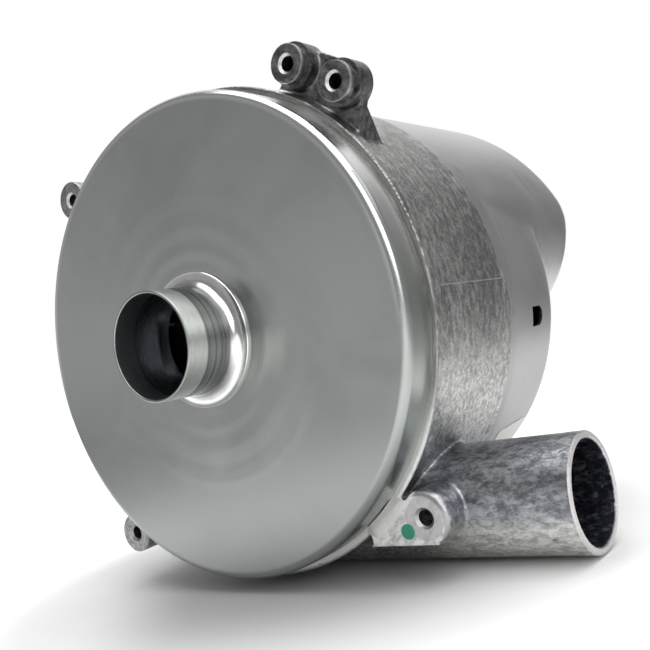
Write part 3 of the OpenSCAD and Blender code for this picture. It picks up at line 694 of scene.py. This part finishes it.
def add_horn_rim(metal):
    """Crisp machined end of the discharge horn."""
    bore, length, edge, proud = HORN_R - HORN_WALL - 0.03, 5.0, 0.45, 0.04
    outer = HORN_R + proud
    profile = [(bore, -length), (bore, -edge), (bore + edge, 0)]
    profile += [(outer - edge, 0), (outer, -edge), (outer, -length)]
    end = Matrix.Translation((HORN_END_X, HORN_AXIS.y, HORN_AXIS.z))
    obj = turned("horn_rim", profile, end @ Matrix.Rotation(math.radians(-90), 4, "Z"), 128, 30)
    dress(obj, metal)
    place(obj)


def add_parting():
    """Thin ridge along the die's parting line, on both sides, and the broken flash at its rear end."""
    bm = bmesh.new()
    low, high, wide = CAST_R - 0.3, CAST_R + 0.14, 0.32
    start_y, end_y = 7.5, COVER_Y0 - 0.4
    section = [(low, -wide), (high, -wide / 3), (high, wide / 3), (low, wide)]
    for side in (1, -1):
        loft_into(bm, [[(side * r, y, z) for r, z in section] for y in (start_y, end_y)])
    obj = finish_mesh("parting_ridge", bm)
    bare = machined("bare_metal", (0.8, 0.8, 0.8), 0.22)
    dress(obj, bare)
    place(obj)
    add_flash(bare)


def add_flash(metal):
    """A small patch of broken flash: a thin, ragged plate that follows the casting's side."""
    bm = bmesh.new()
    rows, across, top_z, tall, deep, thick = 14, 4, 3.4, 8.4, 2.0, 0.5
    grid = []
    for i in range(rows + 1):
        z = top_z - tall * i / rows
        taper = math.sin(math.pi * i / rows) ** 0.5
        row = []
        for j in range(across + 1):
            rough = math.sin(12.9 * i + 78.2 * j) * math.sin(5.1 * i * j + 2.3 * i)
            y = COVER_Y0 - 0.9 + deep * taper * j / across
            r = CAST_R - 0.05 + taper * (0.16 + 0.2 * rough) * math.sin(math.pi * (j + 0.5) / (across + 1))
            row.append((math.sqrt(max(r * r - z * z, 0)), y, z))
        grid.append(row)
    top = [[bm.verts.new(Vector(p) * MM) for p in row] for row in grid]
    base = [[bm.verts.new(Vector((x - thick, y, z)) * MM) for x, y, z in row] for row in grid]
    for i in range(rows):
        for j in range(across):
            bm.faces.new((top[i][j], top[i + 1][j], top[i + 1][j + 1], top[i][j + 1]))
            bm.faces.new((base[i][j], base[i][j + 1], base[i + 1][j + 1], base[i + 1][j]))
        for j in (0, across):
            bm.faces.new((top[i][j], top[i + 1][j], base[i + 1][j], base[i][j]))
    for i in (0, rows):
        for j in range(across):
            bm.faces.new((top[i][j], top[i][j + 1], base[i][j + 1], base[i][j]))
    obj = finish_mesh("broken_flash", bm, 10)
    dress(obj, metal)
    place(obj)


def cover_radius(y):
    """Radius of the cover's tapered wall at a place along the shaft."""
    start, end = COVER_Y0 + COVER_STRAIGHT, COVER_Y1 - COVER_CORNER_R
    return COVER_R - COVER_DRAFT * min(max((y - start) / (end - start), 0), 1)


def add_cover():
    """The drawn rear cover: a round can with an offset dome, a lead slot and one sheet thickness."""
    straight, front = COVER_Y0 + COVER_STRAIGHT, COVER_Y0 - 4.0
    corner_r, corner_y = COVER_R - COVER_DRAFT - COVER_CORNER_R, COVER_Y1 - COVER_CORNER_R
    can = [(HUB_R, front), (COVER_R, front), (COVER_R, straight)]
    can += arc(corner_r, corner_y, COVER_CORNER_R, 0, 90, 12) + [(HUB_R, COVER_Y1)]
    obj = turned("rear_cover_sheet", can)
    combine(obj, add_dome(straight), "UNION")
    soften(obj, voxel=0.8, passes=26)
    bm = bmesh.new()
    bm.from_mesh(obj.data)
    bmesh.ops.bisect_plane(bm, geom=bm.verts[:] + bm.edges[:] + bm.faces[:], plane_co=(0, COVER_Y0 * MM, 0),
                           plane_no=(0, -1, 0), clear_outer=True)
    true_round(bm, straight)
    bm.to_mesh(obj.data)
    bm.free()
    wall = obj.modifiers.new("wall", "SOLIDIFY")
    wall.thickness = COVER_T * MM
    wall.offset = -1
    with_modifiers(obj)
    cut(obj, slot_tool())
    smooth(obj, 40)
    dress(obj, cover_sheet())
    place(obj, "rear_cover")


def true_round(bm, straight):
    """Puts the can's front and the dome's outer side on one true cylinder."""
    dome_half, fade_angle, fade_y, reach = 24.0, 6.0, 6.0, 0.6
    dome_end = DOME_Y1 - 2 * DOME_CORNER_R
    for v in bm.verts:
        y, r = v.co.y / MM, math.hypot(v.co.x, v.co.z) / MM
        off = abs(math.degrees(math.atan2(v.co.z, v.co.x)) - DOME_ANGLE)
        share = min(max((dome_half - off) / fade_angle, 0), 1) * min(max((dome_end - y) / fade_y, 0), 1)
        if y < straight:
            share = 1
        if r > COVER_R - reach:
            scale = 1 + share * (COVER_R / r - 1)
            v.co.x, v.co.z = v.co.x * scale, v.co.z * scale


def dome_outline(inset):
    """Outline of the dome about its middle line: the can's curve outside, a round inside, and soft tips."""
    outer_r = COVER_R - 0.02
    reach, other = outer_r - DOME_TIP_R, DOME_R - DOME_TIP_R
    half = math.acos((reach ** 2 + DOME_OFF ** 2 - other ** 2) / (2 * reach * DOME_OFF))
    tip_x, tip_z = reach * math.cos(half), reach * math.sin(half)
    turn, half = math.degrees(math.atan2(tip_z, tip_x - DOME_OFF)), math.degrees(half)
    points = arc(0, 0, outer_r - inset, -half, half, 48)
    points += arc(tip_x, tip_z, DOME_TIP_R - inset, half, turn, 16)[1:]
    points += arc(DOME_OFF, 0, DOME_R - inset, turn, 360 - turn, 96)[1:]
    return points + arc(tip_x, -tip_z, DOME_TIP_R - inset, 360 - turn, 360 - half, 16)[1:-1]


def add_dome(start_y):
    """The offset dome as a block with a rounded end, ready to be joined to the can."""
    turn = Matrix.Rotation(math.radians(-DOME_ANGLE), 4, "Y")
    corner = arc(0, DOME_Y1 - DOME_CORNER_R, DOME_CORNER_R, 0, 90, 10)
    levels = [(0, start_y)] + [(DOME_CORNER_R - x, y) for x, y in corner]
    return lofted("dome", [[turn @ Vector((x, y, z)) for x, z in dome_outline(inset)] for inset, y in levels])


def slot_tool():
    """Block with one round end, as the punch of the lead slot."""
    half, reach = SLOT_W / 2, SLOT_L - SLOT_W / 2
    outline = [(0, -half), (reach, -half)] + arc(reach, 0, half, -90, 90, 16)[1:] + [(0, half)]
    turn = Matrix.Rotation(math.radians(-SLOT_ANGLE), 4, "Y")
    inside, outside = COVER_R - 9, COVER_R + 6
    rings = [[turn @ Vector((x, SLOT_Y0 + y, z)) for y, z in outline] for x in (inside, outside)]
    return lofted("slot_tool", rings)


def add_sticker():
    """A blank white sticker on the lower side of the cover."""
    y0, y1, a0, a1, proud, thick, corner, strips = 60.0, 84.0, -41.0, -84.0, 0.12, 0.1, 2.0, 24
    radius = cover_radius(y0)
    width = math.radians(a0 - a1) * radius
    outline = []
    for cx, cy, start in ((width - corner, y1 - corner, 0), (corner, y1 - corner, 90),
                          (corner, y0 + corner, 180), (width - corner, y0 + corner, 270)):
        outline += arc(cx, cy, corner, start, start + 90, 6)
    bm = bmesh.new()
    bm.faces.new([bm.verts.new((w, y, 0)) for w, y in outline])
    for i in range(1, strips):
        bmesh.ops.bisect_plane(bm, geom=bm.verts[:] + bm.edges[:] + bm.faces[:],
                               plane_co=(width * i / strips, 0, 0), plane_no=(1, 0, 0))
    skirt = bmesh.ops.extrude_face_region(bm, geom=bm.faces[:])
    for v in skirt["geom"]:
        if isinstance(v, bmesh.types.BMVert):
            v.co.z = thick
    for v in bm.verts:
        a = math.radians(a0) - v.co.x / radius
        r = cover_radius(v.co.y) + proud + v.co.z - thick
        v.co = Vector((r * math.cos(a), v.co.y, r * math.sin(a))) * MM
    obj = finish_mesh("blank_sticker", bm)
    dress(obj, plain("sticker_film", (0.93, 0.93, 0.91), 0.4))
    place(obj)


def add_dot():
    """A small green inspection dot of paint beside the lower right boss."""
    at, r, dome, sunk, hub = Vector((53.1, 0.0, -62.3)), 2.1, 0.11, 0.2, 0.001
    profile = [(hub, sunk), (hub, -dome), (r * 0.8, -dome * 0.95), (r * 0.96, -dome * 0.7), (r, 0.0), (r, sunk)]
    obj = turned("green_dot", profile, Matrix.Translation(at), 40, 60)
    dress(obj, plain("dot_paint", (0.02, 0.3, 0.19), 0.35))
    place(obj)


def dress_inside():
    """Materials for the nodes that keep their own shape."""
    steel = machined("bearing_metal", (0.62, 0.63, 0.65), 0.2)
    fan = machined("fan_metal", (0.2, 0.2, 0.21), 0.4)
    zinc = machined("zinc_metal", (0.6, 0.61, 0.62), 0.3)
    iron = machined("lamination_metal", (0.3, 0.31, 0.33), 0.5)
    copper = machined("copper_wire", (0.6, 0.27, 0.12), 0.3)
    magnet = machined("magnet_metal", (0.16, 0.16, 0.17), 0.45)
    brass = machined("contact_metal", (0.75, 0.6, 0.28), 0.25)
    by_slot = {
        "fan_aluminium": fan, "bearing_steel": steel, "lamination_steel": iron, "winding_copper": copper,
        "magnet_ferrite": magnet, "zinc_hardware": zinc, "contact_brass": brass,
        "cast_aluminium": cast_metal("bracket_metal"),
        "seal_rubber": plain("seal_rubber", (0.05, 0.05, 0.05), 0.7),
        "insulator_plastic": plain("insulator_plastic", (0.78, 0.75, 0.66), 0.5),
        "board_laminate": plain("board_laminate", (0.05, 0.24, 0.12), 0.4),
        "black_plastic": plain("black_plastic", (0.04, 0.04, 0.04), 0.5),
        "capacitor_sleeve": plain("capacitor_sleeve", (0.05, 0.07, 0.16), 0.3),
    }
    for row in frame["record"]["subparts"]:
        if row["material_slot"] in by_slot:
            dress(NODES[row["node"]], by_slot[row["material_slot"]])
    dress(NODES["lead_header"], by_slot["black_plastic"])


# Stage: camera, light and floor

def add_camera():
    """A camera at the photograph's place, with its roll."""
    az, el, roll = (math.radians(v) for v in (CAMERA_AZIMUTH, CAMERA_ELEVATION, CAMERA_ROLL))
    look = Vector((-math.sin(az) * math.cos(el), math.cos(az) * math.cos(el), -math.sin(el)))
    side = Vector((math.cos(az), math.sin(az), 0))
    up = side.cross(look)
    right = side * math.cos(roll) + up * math.sin(roll)
    top = up * math.cos(roll) - side * math.sin(roll)
    data = bpy.data.cameras.new("camera")
    data.lens = CAMERA_LENS
    data.sensor_width = SENSOR
    data.clip_start = 0.005
    obj = add_object("camera", data)
    turn = Matrix((right, top, -look)).transposed().to_4x4()
    obj.matrix_world = Matrix.Translation(Vector(CAMERA_AT)) @ turn
    bpy.context.scene.camera = obj


def add_world():
    """A studio: white backdrop, pale ceiling, and a dimmer room with a pale wall low in front and a card."""
    world = bpy.data.worlds.new("studio")
    world.use_nodes = True
    bpy.context.scene.world = world
    n = Nodes(world.node_tree, "Generated")
    room, ceiling_light, wall_light, card_light = 0.28, 0.9, 0.35, 1.6
    wall_way, card_way = (-0.72, -0.69, 0.0), (0.83, -0.5, 0.25)
    backdrop = n.range(n.along(n.place, BACK), 0.66, 0.86, room, 1.0)
    y, z = n.split(n.place)[1:]
    over = n.math("MULTIPLY", n.range(z, 0.48, 0.62), n.range(y, 0.0, 0.25))
    ceiling = n.range(over, 0.0, 1.0, room, ceiling_light)
    low = n.math("ADD", n.range(z, 0.02, 0.25, wall_light, 0.0), 0.1)
    wall = n.math("MULTIPLY", n.range(n.along(n.place, wall_way), 0.6, 0.85), low)
    card = n.range(n.along(n.place, card_way), 0.955, 0.985, 0.0, card_light)
    sky = n.tree.nodes["Background"]
    sky.inputs["Color"].default_value = (1, 1, 1, 1)
    light = n.math("ADD", n.math("MAXIMUM", backdrop, ceiling), n.math("ADD", wall, card))
    n.put(light, sky.inputs["Strength"])


def add_floor():
    """A pale floor: a white sheet under and behind the object, greyer to the sides, with a painted shadow
    darkening it under the object.
    """
    floor_z = cad_box[0][2]
    half = 4.0
    bm = bmesh.new()
    square = ((-half, -half), (half, -half), (half, half), (-half, half))
    bm.faces.new([bm.verts.new((x, y, floor_z)) for x, y in square])
    obj = finish_mesh("floor", bm)
    s = Shader("floor_pale")
    x, y = s.split(s.place)[:2]
    grain = s.noise(300, 2)
    across = s.math("SUBTRACT", s.along(s.place, SIDE), 0.03)
    behind = s.math("MAXIMUM", s.along(s.place, BACK), 0.0)
    out = s.math("MAXIMUM", across, s.math("MULTIPLY", across, -0.65))
    beside = s.math("SUBTRACT", out, s.math("MULTIPLY", behind, 0.46))
    sheet = s.range(beside, 0.1, 0.26, 1.0, 0.0)
    white = s.mix(grain, (0.88, 0.88, 0.88), (0.9, 0.9, 0.9))
    out_of = s.length(x, s.math("SUBTRACT", y, 0.03))
    # Painted shadow: the floor's colour is darkened under the object.
    painted_shadow = s.math("MULTIPLY", s.range(out_of, 0.05, 0.11, 0.5, 0.0), s.range(across, -0.09, -0.05))
    white = s.mix(painted_shadow, white, (0.1, 0.1, 0.1))
    near = s.range(out_of, 0.095, 0.145, 0.0, 0.45)
    near = s.math("MULTIPLY", near, s.range(across, 0.0, 0.1, 1.0, 0.6))
    pale = s.math("ADD", near, s.range(behind, 0.12, 0.5, 0.0, 0.4))
    rays = s.add("ShaderNodeLightPath").outputs
    shown = s.math("MAXIMUM", rays["Is Glossy Ray"], rays["Is Transmission Ray"])
    shown = s.math("MAXIMUM", rays["Is Camera Ray"], shown)
    s.set(Base_Color=s.mix(sheet, (0.4, 0.4, 0.4), white), Roughness=0.9, Specular_IOR_Level=0.1,
          Emission_Color=(1, 1, 1, 1),
          Emission_Strength=s.math("MULTIPLY", shown, s.math("MULTIPLY", sheet, pale)))
    dress(obj, s)


def add_lamp(name, at, towards, size, watts):
    """A soft square lamp."""
    data = bpy.data.lights.new(name, "AREA")
    data.energy = watts
    data.size = size
    obj = add_object(name, data)
    obj.location = at
    obj.rotation_euler = (Vector(towards) - Vector(at)).to_track_quat("-Z", "Y").to_euler()


add_camera()
add_world()
add_floor()
add_lamp("softbox", at=(0.12, 0.0, 0.9), towards=(0, 0.03, 0), size=0.9, watts=7)
add_lamp("side_box", at=(0.64, -0.42, 0.54), towards=(0, 0, 0), size=0.7, watts=2.6)
add_shell()
add_tube()
add_casting()
add_cover()
add_sticker()
add_dot()
dress_inside()
bpy.context.scene.view_settings.view_transform = "Standard"
